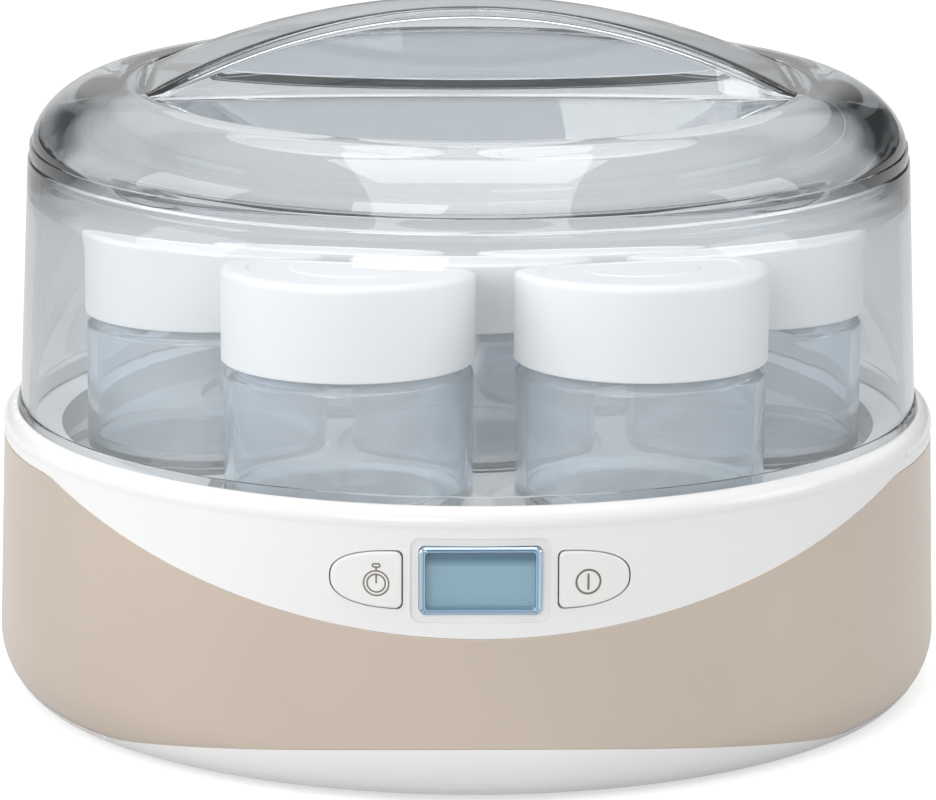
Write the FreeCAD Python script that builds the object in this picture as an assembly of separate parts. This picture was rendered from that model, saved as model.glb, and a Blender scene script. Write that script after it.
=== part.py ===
import FreeCAD
import Part
import math
import os

# Yogurt maker. Millimetres, +Z up. The origin is at the centre of the rest plane under the
# feet, and the display faces -Y.

V = FreeCAD.Vector
UP = V(0, 0, 1)
INWARD = V(0, 1, 0)
TINY = 0.01

# Housing
shell_low_z = 2.0
widest_radius = 125.0
widest_z = 15.0
foot_round = 18.1
rim_side_radius = 123.2
rim_side_z = 70.0
rim_top_radius = 119.9
rim_top_z = 75.2
shell_wall = 2.6
shell_roof_z = 67.4

# Steps inside the rim: the ledge that the dome stands on and the seat of the tray
groove_radius = 119.6
ledge_z = 71.0
seat_radius = 116.2
seat_z = 69.4
well_radius = 111.5

# Champagne sleeve
band_thickness = 1.2
band_low_z = 4.0
band_high_z = 68.0
smile_low_z = 43.0
smile_radius = 250.0
chin_high_z = 15.2
chin_radius = 400.0

# Heating tray and jars
tray_radius = 109.6
tray_wall = 1.8
tray_floor_z = 63.0
recess_floor_z = 60.5
recess_radius = 35.2
tray_floor_thickness = 2.0
jar_pitch = 72.5
# The ring of jars is turned a little, from the front towards +X
ring_turn = 2.0
jar_radius = 31.5
jar_wall = 2.4
jar_base_thickness = 4.0
jar_shoulder_z = 96.5
neck_radius = 29.0
neck_bead = 0.8
jar_rim_z = 122.2
thread_low_z = 108.0
thread_slope = 1.5
cap_radius = 31.9
cap_low_z = 99.7
cap_top_z = 124.2
cap_skirt = 1.6
cap_ring_outer = 25.0
cap_ring_inner = 13.4
# Each jar stands loose in its recess, and these are its small shifts from the centre
jar_shifts = [(0.8, -2.8), (3.3, -0.6), (0.9, -1.0), (1.6, -1.4), (2.2, 0.8), (2.9, 1.7), (2.3, 1.7)]

# Dome lid
dome_low_radius = 119.3
dome_low_z = ledge_z
lip_top_z = 77.2
lip_step = 0.5
ring_low_radius = 116.0
ring_low_z = 141.2
ring_step = 0.5
ring_high_radius = 114.9
ring_high_z = 144.8
ridge_radius = 95.0
ridge_z = 160.8
crown_centre_z = 161.0
# The pocket in the top is an ellipse in plan with a dished floor
pocket_half_x = 87.2
pocket_half_y = 97.5
pocket_edge_z = 159.7
pocket_centre_z = 158.0
dome_wall = 2.6
inner_turn_radius = 113.4
inner_turn_z = 131.5
inner_mid_radius = 105.0
inner_mid_z = 148.5
inner_roof_radius = 90.0
inner_roof_z = 156.8
inner_centre_z = 155.4

# Grip: a hollow arch along X, narrow in the middle
grip_top_z = 181.0
grip_arch_radius = 182.5
grip_half_length = 88.0
grip_mid_half_width = 13.0
grip_plan_radius = 250.0
grip_low_z = 156.9
grip_hollow_low_z = 150.0
grip_end_x = 84.3
grip_end_half_width = 28.0
grip_edge_round = 2.2
grip_hollow_half_length = 80.0

# Display and buttons, on a panel centred on x = 0
panel_z = 57.4
lcd_width = 30.0
lcd_height = 17.0
lcd_corner = 1.6
lcd_view_width = 26.6
lcd_view_height = 14.2
view_corner = 0.8
bezel_front_y = -123.9
bezel_slope_y = -122.6
bezel_back_y = -120.4
window_front_y = -122.5
window_back_y = -121.3
lcd_front_y = -120.3
lcd_margin = 0.6
backlight_front_y = -118.1
panel_recess = 0.5
button_inner_x = 19.1
button_tip_x = 36.35
button_half_height = 7.0
button_fullness = 2.5
button_corner = 1.6
button_gap = 0.35
button_proud = 0.6
button_skin = 3.9
button_flange = 1.3
# Cuts through the front wall start clear in front of it and end just behind it
front_clear_y = -widest_radius - 5
front_wall_back_y = -112.0
button_clear_y = -108.0
board_front_y = -112.2
board_thickness = 1.6
board_back_y = board_front_y + board_thickness
board_half_width = 40.0
display_screw_x = 36.5
display_screw_radius = 1.0
display_screw_head = 1.9
display_post_radius = 2.4
display_post_clearance = 0.6
board_low_z = 47.0
board_high_z = 66.6
switch_x = 26.0
switch_body = 6.0
switch_height = 2.2
switch_tip_height = 2.8
switch_tip_radius = 1.6
plunger_radius = 1.8
plunger_front_y = -120.2
plunger_back_y = -116.3

# Heater under the tray
spreader_radius = 104.0
spreader_top_z = recess_floor_z - tray_floor_thickness
spreader_thickness = 1.5
heater_inner_radius = 56.0
heater_outer_radius = 86.0
heater_thickness = 2.0
clamp_radius = 90.0
clamp_thickness = 1.2
post_radius = 3.6
post_circle_radius = jar_pitch / math.sqrt(3.0)
post_angles = (ring_turn, 120.0 + ring_turn, 240.0 + ring_turn)
heater_top_z = spreader_top_z - spreader_thickness
clamp_top_z = heater_top_z - heater_thickness
post_low_z = clamp_top_z
# The screws up into the tray's posts and down into the cover's posts
small_screw_radius = 1.1
small_screw_hole = 1.4
small_screw_head = 3.2
tab_x = 9.0
clip_thickness = 0.8
clip_half_width = 4.0
clip_half_length = 14.0
sensor_height = 7.0

# Underside
cover_radius = 114.9
cover_top_z = 4.6
foot_radius = 7.0
foot_circle_radius = 92.0
foot_stem_radius = 3.0
boss_circle_radius = 107.5
boss_radius = 4.2
boss_top_z = 26.0
screw_angles = (45.0, 135.0, 225.0, 315.0)
cover_screw_radius = 1.3
cover_screw_hole = 1.7
cover_screw_head = 2.9
cover_screw_sink = 3.2
sink_depth = 1.2
vent_count = 7
vent_first_y = -54.0
vent_pitch = 8.0
vent_width = 3.0
vent_half_length = 24.0

# Power board and its parts
board_centre_y = 42.0
board_size_x = 92.0
board_size_y = 56.0
power_board_z = 14.0
standoff_inset = 5.0
standoff_radius = 3.2

# Wiring
ribbon_thickness = 0.8
ribbon_half_width = 6.0
ribbon_x = -16.0
lead_radius = 1.2
terminal_height = 11.0
terminal_y = 19.0

# Mains inlet in a flat pocket at the back
inlet_z = 26.0
inlet_half_width = 12.0
inlet_half_height = 11.0
inlet_face_y = 116.5
gland_radius = 5.0
gland_head_radius = 8.0
gland_head_y = 121.5
gland_inner_y = 104.0
pocket_wall_thickness = 2.4
cord_bore_radius = 3.2
nut_radius = 8.0
nut_thickness = 4.5


def save(name, shape):
    """Write one sub-part, named after its node."""
    shape = shape.removeSplitter()
    if not shape.isValid():
        raise ValueError("bad shape: " + name)
    os.makedirs("parts", exist_ok=True)
    shape.exportStep("parts/" + name + ".step")


def group(shapes):
    """Several separate solids kept as one sub-part."""
    return Part.makeCompound(shapes)


def box(low, high):
    """A block between two opposite corners."""
    size = [high[i] - low[i] for i in range(3)]
    return Part.makeBox(size[0], size[1], size[2], V(*low))


def rod(radius, low_z, high_z, x=0.0, y=0.0):
    """A round bar along Z."""
    return Part.makeCylinder(radius, high_z - low_z, V(x, y, low_z))


def cross_rod(radius, low_y, high_y, x, z):
    """A round bar along Y."""
    return Part.makeCylinder(radius, high_y - low_y, V(x, low_y, z), INWARD)


def turned(points):
    """A solid turned about Z from (radius, z) corners."""
    corners = [V(r, 0, z) for r, z in points]
    face = Part.Face(Part.makePolygon(corners + corners[:1]))
    return face.revolve(V(0, 0, 0), UP, 360)


def turned_edges(edges):
    """A solid turned about Z from edges that close a profile."""
    face = Part.Face(Part.Wire(Part.__sortEdges__(edges)))
    return face.revolve(V(0, 0, 0), UP, 360)


def line(a, b):
    """An edge between two (radius, z) points."""
    return Part.makeLine(V(a[0], 0, a[1]), V(b[0], 0, b[1]))


def arc(a, mid, b):
    """A round edge through three (radius, z) points."""
    return Part.Arc(V(a[0], 0, a[1]), V(mid[0], 0, mid[1]), V(b[0], 0, b[1])).toShape()


def prism_y(face_points, low_y, high_y):
    """A solid from (x, z) corners, run along Y."""
    corners = [V(x, low_y, z) for x, z in face_points]
    face = Part.Face(Part.makePolygon(corners + corners[:1]))
    return face.extrude(V(0, high_y - low_y, 0))


def rounded_plate(half_x, half_z, corner, low_y, high_y, centre_z):
    """A plate facing -Y with rounded corners."""
    plate = box((-half_x, low_y, centre_z - half_z), (half_x, high_y, centre_z + half_z))
    upright = [e for e in plate.Edges if abs(e.tangentAt(e.FirstParameter).y) > 0.99]
    return plate.makeFillet(corner, upright)


def polar(radius, degrees):
    """The (x, y) point at a radius and an angle from the front, -Y, towards +X."""
    turn = math.radians(degrees)
    return radius * math.sin(turn), -radius * math.cos(turn)


def jar_seats():
    """Centres of the seven recesses: one in the middle and six round it."""
    ring = [polar(jar_pitch, 30.0 + ring_turn + 60.0 * k) for k in range(6)]
    return [(0.0, 0.0)] + ring


def wall_point(inset, z):
    """The (radius, z) point on the housing's tapered wall, moved in by an inset."""
    slope = (widest_radius - rim_side_radius) / (rim_side_z - widest_z)
    return (widest_radius - inset - slope * (z - widest_z), z)


def housing(inset, low_z, high_z):
    """The solid inside the housing's outer face, moved in by an inset, between two heights."""
    high = wall_point(inset, high_z)
    edges = [line(high, (0, high_z)), line((0, high_z), (0, low_z))]
    if low_z >= widest_z:
        low = wall_point(inset, low_z)
        edges += [line((0, low_z), low), line(low, high)]
        return turned_edges(edges)
    centre_r = widest_radius - foot_round
    round_r = foot_round - inset
    low_angle = math.asin((widest_z - low_z) / round_r)
    mid_angle = low_angle / 2
    low = (centre_r + round_r * math.cos(low_angle), low_z)
    mid = (centre_r + round_r * math.cos(mid_angle), widest_z - round_r * math.sin(mid_angle))
    widest = wall_point(inset, widest_z)
    edges += [line((0, low_z), low), arc(low, mid, widest), line(widest, high)]
    return turned_edges(edges)


def skin(outer_inset, inner_inset, low_z, high_z):
    """A layer that follows the housing's outer face between two depths below it."""
    return housing(outer_inset, low_z, high_z).cut(housing(inner_inset, low_z, high_z))


def band_layer():
    """The sleeve's space: a layer whose upper edge dips and lower edge rises at the front."""
    layer = skin(0, band_thickness, band_low_z, band_high_z)
    smile = cross_rod(smile_radius, front_clear_y, 0, 0, smile_low_z + smile_radius)
    chin = cross_rod(chin_radius, front_clear_y, 0, 0, chin_high_z - chin_radius)
    return layer.cut(smile).cut(chin).cut(inlet_pocket())


def inlet_pocket():
    """The flat pocket at the back that the mains inlet sits in."""
    low = (-inlet_half_width, inlet_face_y, inlet_z - inlet_half_height)
    high = (inlet_half_width, widest_radius + 5, inlet_z + inlet_half_height)
    return box(low, high)


def leaf(margin, low_y, high_y, side):
    """A button outline: a straight edge next to the display, and a row of arcs along half of a
    superellipse, which runs out to a round tip."""
    inner = button_inner_x - margin
    length = button_tip_x + margin - inner
    half = button_half_height + margin
    power = 2.0 / button_fullness
    points = []
    for k in range(-11, 12):
        turn = math.pi / 2 * k / 11
        x = inner + length * max(math.cos(turn), 0.0) ** power
        z = math.copysign(half * abs(math.sin(turn)) ** power, turn)
        points.append(V(x, low_y, z))
    edges = [Part.Arc(*points[k:k + 3]).toShape() for k in range(0, len(points) - 2, 2)]
    edges.append(Part.makeLine(points[-1], points[0]))
    solid = Part.Face(Part.Wire(edges)).extrude(V(0, high_y - low_y, 0))
    corners = [e for e in solid.Edges if abs(e.BoundBox.XMax - inner) < TINY and e.BoundBox.YLength > 1]
    solid = solid.makeFillet(button_corner, corners)
    if side < 0:
        solid = solid.mirror(V(0, 0, 0), V(1, 0, 0))
    return solid.translated(V(0, 0, panel_z))


def base_shell():
    """White housing: wall, rounded rim, ledge for the dome, tray seat, bosses and cut-outs."""
    mid_rim = (rim_side_radius - 0.75, rim_top_z - 1.4)
    side = (rim_side_radius, rim_side_z)
    top = (rim_top_radius, rim_top_z)
    cap = [line((0, rim_side_z), side), arc(side, mid_rim, top)]
    cap += [line(top, (0, rim_top_z)), line((0, rim_top_z), (0, rim_side_z))]
    shape = housing(0, shell_low_z, rim_side_z).fuse(turned_edges(cap))
    shape = shape.cut(housing(shell_wall, shell_low_z - TINY, shell_roof_z))
    shape = shape.cut(rod(well_radius, shell_roof_z - 1, rim_top_z + 1))
    shape = shape.cut(rod(seat_radius, seat_z, rim_top_z + 1))
    shape = shape.cut(rod(groove_radius, ledge_z, rim_top_z + 1))
    for angle in screw_angles:
        x, y = polar(boss_circle_radius, angle)
        web = box((-1.2, -widest_radius, cover_top_z), (1.2, -boss_circle_radius, boss_top_z))
        web = web.rotated(V(0, 0, 0), UP, angle)
        shape = shape.fuse(rod(boss_radius, cover_top_z, boss_top_z, x, y))
        shape = shape.fuse(web.common(housing(shell_wall / 2, shell_low_z, boss_top_z)))
        shape = shape.cut(rod(cover_screw_radius, cover_top_z - 1, boss_top_z - 4, x, y))
    pocket_back_y = inlet_face_y - pocket_wall_thickness
    pocket_low = (-inlet_half_width - 2, pocket_back_y, inlet_z - inlet_half_height - 2)
    pocket_high = (inlet_half_width + 2, widest_radius, inlet_z + inlet_half_height + 2)
    pocket_wall = box(pocket_low, pocket_high).common(housing(shell_wall / 2, shell_low_z, rim_side_z))
    shape = shape.fuse(pocket_wall).cut(inlet_pocket())
    shape = shape.cut(cross_rod(gland_radius + 0.05, gland_inner_y, widest_radius, 0, inlet_z))
    shape = shape.cut(band_layer())
    front = front_clear_y
    back = front_wall_back_y
    recess = rounded_plate(lcd_width / 2 + 2, lcd_height / 2 + 2, 2.5, front, back, panel_z)
    shape = shape.cut(recess.common(skin(-TINY, panel_recess, 30, rim_side_z)))
    shape = shape.cut(rounded_plate(lcd_width / 2, lcd_height / 2, lcd_corner, front, back, panel_z))
    for side_sign in (-1, 1):
        shape = shape.cut(leaf(button_gap, front, back, side_sign))
    return shape


def heating_tray():
    """Grey floor with seven round recesses, a wall, a flange and three posts beneath."""
    low_z = tray_floor_z - tray_floor_thickness
    shape = rod(tray_radius, low_z, ledge_z)
    shape = shape.fuse(rod(seat_radius - 0.2, seat_z, ledge_z))
    shape = shape.cut(rod(tray_radius - tray_wall, tray_floor_z, ledge_z + 1))
    for x, y in jar_seats():
        shape = shape.fuse(rod(recess_radius + tray_wall, spreader_top_z, tray_floor_z, x, y))
    for x, y in jar_seats():
        shape = shape.cut(rod(recess_radius, recess_floor_z, tray_floor_z + 1, x, y))
    for angle in post_angles:
        x, y = polar(post_circle_radius, angle)
        shape = shape.fuse(rod(post_radius, post_low_z, low_z + 1, x, y))
        shape = shape.cut(rod(small_screw_radius, post_low_z - 1, post_low_z + 6, x, y))
    return shape


def jar(x, y):
    """Squat glass jar: thick base, straight body, shoulder and a neck with a thread bead."""
    body_in = jar_radius - jar_wall
    neck_in = neck_radius - jar_wall
    base_z = recess_floor_z
    outer = [(0, base_z), (jar_radius - 3, base_z), (jar_radius, base_z + 3), (jar_radius, jar_shoulder_z)]
    outer += [(neck_radius, jar_shoulder_z + 3), (neck_radius, thread_low_z)]
    outer += [(neck_radius + neck_bead, thread_low_z + thread_slope)]
    outer += [(neck_radius + neck_bead, thread_low_z + 2 * thread_slope)]
    outer += [(neck_radius, thread_low_z + 3 * thread_slope)]
    outer += [(neck_radius, jar_rim_z), (neck_in, jar_rim_z)]
    inner = [(neck_in, jar_shoulder_z + 4), (body_in, jar_shoulder_z)]
    inner += [(body_in, base_z + jar_base_thickness + 3), (body_in - 3, base_z + jar_base_thickness)]
    inner += [(0, base_z + jar_base_thickness)]
    return turned(outer + inner).translated(V(x, y, 0))


def jar_cap(x, y):
    """White screw cap: skirt with soft edges, and a top with a shallow raised ring."""
    roof_z = jar_rim_z
    skirt_in = cap_radius - cap_skirt
    points = [(cap_radius, cap_low_z), (cap_radius, cap_top_z - 1.6), (cap_radius - 0.5, cap_top_z - 0.5)]
    points += [(cap_radius - 1.6, cap_top_z), (cap_ring_outer, cap_top_z)]
    points += [(cap_ring_outer - 0.6, cap_top_z - 0.6), (cap_ring_inner + 0.6, cap_top_z - 0.6)]
    points += [(cap_ring_inner, cap_top_z - 0.2), (0, cap_top_z - 0.2), (0, roof_z)]
    points += [(skirt_in, roof_z), (skirt_in, cap_low_z)]
    return turned(points).translated(V(x, y, 0))


def shoulder_points(count):
    """Points on the dome's shoulder, a superellipse from the ring up to the ridge."""
    points = []
    power = 2.0 / 1.75
    for k in range(count + 1):
        turn = math.pi / 2 * k / count
        r = ridge_radius + (ring_high_radius - ridge_radius) * max(math.cos(turn), 0.0) ** power
        z = ring_high_z + (ridge_z - ring_high_z) * math.sin(turn) ** power
        points.append(V(r, 0, z))
    return points


def grip_solid(inset, low_z):
    """The arch's solid: an outline narrow in the middle, under a round top."""
    half_length = grip_half_length
    half_width = grip_mid_half_width - inset
    end_width = half_width + grip_plan_radius - math.sqrt(grip_plan_radius ** 2 - half_length ** 2)
    edges = []
    for side in (-1, 1):
        a = V(-half_length, side * end_width, low_z)
        mid = V(0, side * half_width, low_z)
        b = V(half_length, side * end_width, low_z)
        edges.append(Part.Arc(a, mid, b).toShape())
    for end in (-half_length, half_length):
        edges.append(Part.makeLine(V(end, -end_width, low_z), V(end, end_width, low_z)))
    outline = Part.Face(Part.Wire(Part.__sortEdges__(edges)))
    block = outline.extrude(V(0, 0, grip_top_z + 5 - low_z))
    arch = cross_rod(grip_arch_radius - inset, -60, 60, 0, grip_top_z - grip_arch_radius)
    shape = block.common(arch)
    if inset == 0:
        crest = [e for e in shape.Edges if e.BoundBox.ZMax > grip_top_z - 1 and e.BoundBox.XLength > 50]
        shape = shape.makeFillet(grip_edge_round, crest)
    return shape


def top_pocket():
    """The space of the pocket around the grip: an ellipse in plan, over a dished floor, that stops
    short of the crown where the grip's ends run into it."""
    rim_radius = pocket_half_y + 1
    high_z = ridge_z + 10
    floor_mid = (rim_radius / 2, pocket_centre_z + (pocket_edge_z - pocket_centre_z) / 4)
    edges = [arc((0, pocket_centre_z), floor_mid, (rim_radius, pocket_edge_z))]
    edges += [line((rim_radius, pocket_edge_z), (rim_radius, high_z))]
    edges += [line((rim_radius, high_z), (0, high_z)), line((0, high_z), (0, pocket_centre_z))]
    ellipse = Part.Ellipse(V(0, pocket_half_y, 0), V(pocket_half_x, 0, 0), V(0, 0, 0)).toShape()
    outline = Part.Face(Part.Wire([ellipse])).extrude(V(0, 0, high_z))
    space = turned_edges(edges).common(outline)
    for side in (-1, 1):
        near = side * grip_end_x
        far = side * (pocket_half_x + 2)
        low = (min(near, far), -grip_end_half_width, 0)
        space = space.cut(box(low, (max(near, far), grip_end_half_width, high_z + 1)))
    return space


def dome_lid():
    """Clear dome: lip, wall, shoulder ring, crown with its pocket, and the hollow grip."""
    shoulder = Part.BSplineCurve()
    shoulder.interpolate(shoulder_points(12))
    lip_slope = 0.05
    outer = [(0, dome_low_z), (dome_low_radius, dome_low_z), (dome_low_radius - lip_slope, lip_top_z)]
    outer += [(dome_low_radius - lip_slope - lip_step, lip_top_z), (ring_low_radius, ring_low_z)]
    outer += [(ring_low_radius - ring_step, ring_low_z + ring_step)]
    outer += [(ring_high_radius + ring_step, ring_high_z), (ring_high_radius, ring_high_z)]
    edges = [line(outer[i], outer[i + 1]) for i in range(len(outer) - 1)]
    edges.append(shoulder.toShape())
    crown_mid = (ridge_radius / 2, crown_centre_z - (crown_centre_z - ridge_z) / 4)
    edges.append(arc((ridge_radius, ridge_z), crown_mid, (0, crown_centre_z)))
    edges.append(line((0, crown_centre_z), (0, dome_low_z)))
    solid = turned_edges(edges).cut(top_pocket()).fuse(grip_solid(0, grip_low_z))
    low_in = dome_low_radius - dome_wall
    turn = (inner_turn_radius, inner_turn_z)
    roof = (inner_roof_radius, inner_roof_z)
    roof_mid = (inner_roof_radius / 2, inner_centre_z + (inner_roof_z - inner_centre_z) / 4)
    hollow = [line((0, dome_low_z - 1), (low_in, dome_low_z - 1)), line((low_in, dome_low_z - 1), turn)]
    hollow += [arc(turn, (inner_mid_radius, inner_mid_z), roof), arc(roof, roof_mid, (0, inner_centre_z))]
    hollow += [line((0, inner_centre_z), (0, dome_low_z - 1))]
    reach = grip_hollow_half_length
    grip_middle = box((-reach, -60, inner_turn_z), (reach, 60, grip_top_z + 10))
    inner_grip = grip_solid(dome_wall, grip_hollow_low_z).common(grip_middle)
    return solid.cut(turned_edges(hollow)).cut(inner_grip)


def button(side):
    """A leaf-shaped button with a face that follows the housing, a plunger, and a flange with a
    round relief where it passes the display board's post."""
    front = front_clear_y
    back = button_clear_y
    face = leaf(0, front, back, side).common(skin(-button_proud, button_skin, 40, rim_side_z))
    flange_layer = skin(shell_wall + 0.4, button_skin, 40, shell_roof_z - 0.4)
    flange = leaf(button_flange, front, back, side).common(flange_layer)
    relief = display_post_radius + display_post_clearance
    for x, z in display_screw_places():
        flange = flange.cut(cross_rod(relief, front, back, x, z))
    plunger = cross_rod(plunger_radius, plunger_front_y, plunger_back_y, side * switch_x, panel_z)
    return face.fuse(flange).fuse(plunger)


def lcd_bezel():
    """Pale frame around the display with a sloped inner edge."""
    out_x = lcd_width / 2 - 0.1
    out_z = lcd_height / 2 - 0.1
    outer = rounded_plate(out_x, out_z, lcd_corner, bezel_front_y, bezel_back_y, panel_z)
    half_x = lcd_view_width / 2
    half_z = lcd_view_height / 2
    opening = rounded_plate(half_x, half_z, view_corner, front_clear_y, bezel_back_y + 1, panel_z)
    wide = [(-half_x - 1, panel_z - half_z - 1), (half_x + 1, panel_z - half_z - 1)]
    wide += [(half_x + 1, panel_z + half_z + 1), (-half_x - 1, panel_z + half_z + 1)]
    narrow = [(-half_x, panel_z - half_z), (half_x, panel_z - half_z)]
    narrow += [(half_x, panel_z + half_z), (-half_x, panel_z + half_z)]
    wires = []
    for points, y in ((wide, bezel_front_y - 0.05), (narrow, bezel_slope_y)):
        corners = [V(px, y, pz) for px, pz in points]
        wires.append(Part.makePolygon(corners + corners[:1]))
    bevel = Part.makeLoft(wires, True)
    return outer.cut(opening).cut(bevel)


def lcd_window():
    """Clear pane in the bezel's opening."""
    half_x = lcd_view_width / 2 - TINY
    half_z = lcd_view_height / 2 - TINY
    return rounded_plate(half_x, half_z, view_corner, window_front_y, window_back_y, panel_z)


def display_layer(front_y, back_y):
    """A rectangular layer behind the display's opening, facing -Y."""
    half_x = lcd_view_width / 2 + lcd_margin
    half_z = lcd_view_height / 2 + lcd_margin
    return box((-half_x, front_y, panel_z - half_z), (half_x, back_y, panel_z + half_z))


def display_board():
    """Circuit board behind the display, with four screw holes."""
    low = (-board_half_width, board_front_y, board_low_z)
    high = (board_half_width, board_back_y, board_high_z)
    board = box(low, high)
    hole = display_screw_radius + 0.2
    for x, z in display_screw_places():
        board = board.cut(cross_rod(hole, board_front_y - 1, board_front_y + 3, x, z))
    return board


def display_screw_places():
    """Where the display board's screws go, in x and z."""
    return [(x, z) for x in (-display_screw_x, display_screw_x) for z in (board_low_z + 3, board_high_z - 3)]


def display_posts():
    """Posts from the housing's front wall that the display board is screwed to."""
    posts = []
    for x, z in display_screw_places():
        post = cross_rod(display_post_radius, -widest_radius, board_front_y, x, z)
        posts.append(post.common(housing(shell_wall / 2, shell_low_z, rim_side_z)))
    return posts


def display_screws():
    """Four small screws through the display board."""
    screws = []
    for x, z in display_screw_places():
        head = cross_rod(display_screw_head, board_back_y, board_back_y + 1.0, x, z)
        screws.append(head.fuse(cross_rod(display_screw_radius, board_front_y - 3.0, board_back_y, x, z)))
    return group(screws)


def tact_switches():
    """Two push switches on the display board, one behind each button."""
    switches = []
    for side in (-1, 1):
        x = side * switch_x
        half = switch_body / 2
        front_y = board_front_y - switch_height
        body = box((x - half, front_y, panel_z - half), (x + half, board_front_y, panel_z + half))
        tip = cross_rod(switch_tip_radius, board_front_y - switch_tip_height, front_y, x, panel_z)
        switches.append(body.fuse(tip))
    return group(switches)


def heat_spreader():
    """Aluminium disc under the recesses, cleared for the posts and the sensor."""
    disc = rod(spreader_radius, heater_top_z, spreader_top_z)
    for angle in post_angles:
        x, y = polar(post_circle_radius, angle)
        disc = disc.cut(rod(post_radius + 0.2, heater_top_z - 1, spreader_top_z + 1, x, y))
    return disc


def mica_heater():
    """Flat ring heater with two tabs for its leads."""
    ring = rod(heater_outer_radius, clamp_top_z, heater_top_z)
    ring = ring.cut(rod(heater_inner_radius, clamp_top_z - 1, heater_top_z + 1))
    for x in (-tab_x, tab_x):
        ring = ring.fuse(box((x - 3, 48, clamp_top_z), (x + 3, 60, heater_top_z)))
    return ring


def heater_clamp_plate():
    """Thin steel plate that presses the heater up against the spreader."""
    low_z = clamp_top_z - clamp_thickness
    plate = rod(clamp_radius, low_z, clamp_top_z)
    for angle in post_angles:
        x, y = polar(post_circle_radius, angle)
        plate = plate.cut(rod(small_screw_hole, low_z - 1, clamp_top_z + 1, x, y))
    plate = plate.cut(rod(4.4, low_z - 1, clamp_top_z + 1))
    return plate.cut(box((-tab_x - 4, 46, low_z - 1), (tab_x + 4, 62, clamp_top_z + 1)))


def heater_screws():
    """Three screws up into the tray's posts."""
    screws = []
    low_z = clamp_top_z - clamp_thickness
    for angle in post_angles:
        x, y = polar(post_circle_radius, angle)
        head = rod(small_screw_head, low_z - 2.0, low_z, x, y)
        screws.append(head.fuse(rod(small_screw_radius, low_z, post_low_z + 6, x, y)))
    return group(screws)


def temperature_sensor():
    """Round sensor that touches the spreader in the middle."""
    barrel = rod(3.0, heater_top_z - sensor_height, heater_top_z)
    return barrel.fuse(rod(4.0, heater_top_z - 1.0, heater_top_z))


def sensor_clip():
    """Bent strip under the plate that holds the sensor up."""
    low_z = clamp_top_z - clamp_thickness
    bridge_z = heater_top_z - sensor_height
    wide = clip_half_width
    under_z = bridge_z - clip_thickness
    low = (-clip_half_length, -wide, low_z - clip_thickness)
    strip = box(low, (clip_half_length, wide, low_z))
    strip = strip.cut(box((-6, -wide - 1, low_z - 2), (6, wide + 1, low_z + 1)))
    for x in (-6.0 - clip_thickness, 6.0):
        strip = strip.fuse(box((x, -wide, under_z), (x + clip_thickness, wide, low_z)))
    half = 6.0 + clip_thickness
    return strip.fuse(box((-half, -wide, under_z), (half, wide, bridge_z)))


def thermal_fuse():
    """Small barrel fuse along X under the clamp plate."""
    low_z = clamp_top_z - clamp_thickness
    return Part.makeCylinder(2.2, 14.0, V(12, 20, low_z - 2.2), V(1, 0, 0))


def fuse_clip():
    """Strip that wraps the thermal fuse and lies against the plate at both ends."""
    low_z = clamp_top_z - clamp_thickness
    left, right = 16, 22
    near, far = 17.6, 22.4
    thick = clip_thickness
    wrap = box((left, near - thick, low_z - 4.4 - thick), (right, far + thick, low_z))
    wrap = wrap.cut(box((left - 1, near, low_z - 4.4), (right + 1, far, low_z + 1)))
    ears = [box((left, 10, low_z - thick), (right, near, low_z))]
    ears.append(box((left, far, low_z - thick), (right, 30, low_z)))
    return wrap.multiFuse(ears)


def foot_places():
    """Centres of the four feet."""
    return [polar(foot_circle_radius, angle) for angle in (0.0 + 90.0 * k for k in range(4))]


def bottom_cover():
    """White floor plate with screw holes, foot holes, board posts and vent slots."""
    plate = rod(cover_radius, shell_low_z, cover_top_z)
    for angle in screw_angles:
        x, y = polar(boss_circle_radius, angle)
        plate = plate.cut(rod(cover_screw_hole, 0, 10, x, y))
        plate = plate.cut(rod(cover_screw_sink, shell_low_z - 1, shell_low_z + sink_depth, x, y))
    for x, y in foot_places():
        plate = plate.cut(rod(foot_stem_radius, 0, 10, x, y))
    for k in range(vent_count):
        y = vent_first_y + vent_pitch * k
        plate = plate.cut(box((-vent_half_length, y, 0), (vent_half_length, y + vent_width, 10)))
    for x, y in standoff_places():
        plate = plate.fuse(rod(standoff_radius, cover_top_z, power_board_z, x, y))
        plate = plate.cut(rod(small_screw_radius, power_board_z - 6, power_board_z + 1, x, y))
    return plate


def cover_screws():
    """Four screws up through the cover into the housing's bosses."""
    screws = []
    seat = shell_low_z + sink_depth
    for angle in screw_angles:
        x, y = polar(boss_circle_radius, angle)
        head = rod(cover_screw_head, seat - 1.0, seat, x, y)
        screws.append(head.fuse(rod(cover_screw_radius, seat, boss_top_z - 6, x, y)))
    return group(screws)


def feet():
    """Four rubber feet, each with a stem through the cover."""
    pads = []
    for x, y in foot_places():
        stem = rod(foot_stem_radius, shell_low_z, cover_top_z, x, y)
        pads.append(rod(foot_radius, 0, shell_low_z, x, y).fuse(stem))
    return group(pads)


def standoff_places():
    """Centres of the power board's four posts."""
    half_x = board_size_x / 2 - standoff_inset
    half_y = board_size_y / 2 - standoff_inset
    return [(sx * half_x, board_centre_y + sy * half_y) for sx in (-1, 1) for sy in (-1, 1)]


def on_board(x, y, size_x, size_y, height):
    """A block standing on the power board, placed from the board's centre."""
    low_z = power_board_z + board_thickness
    low = (x - size_x / 2, board_centre_y + y - size_y / 2, low_z)
    high = (x + size_x / 2, board_centre_y + y + size_y / 2, low_z + height)
    return box(low, high)


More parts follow.
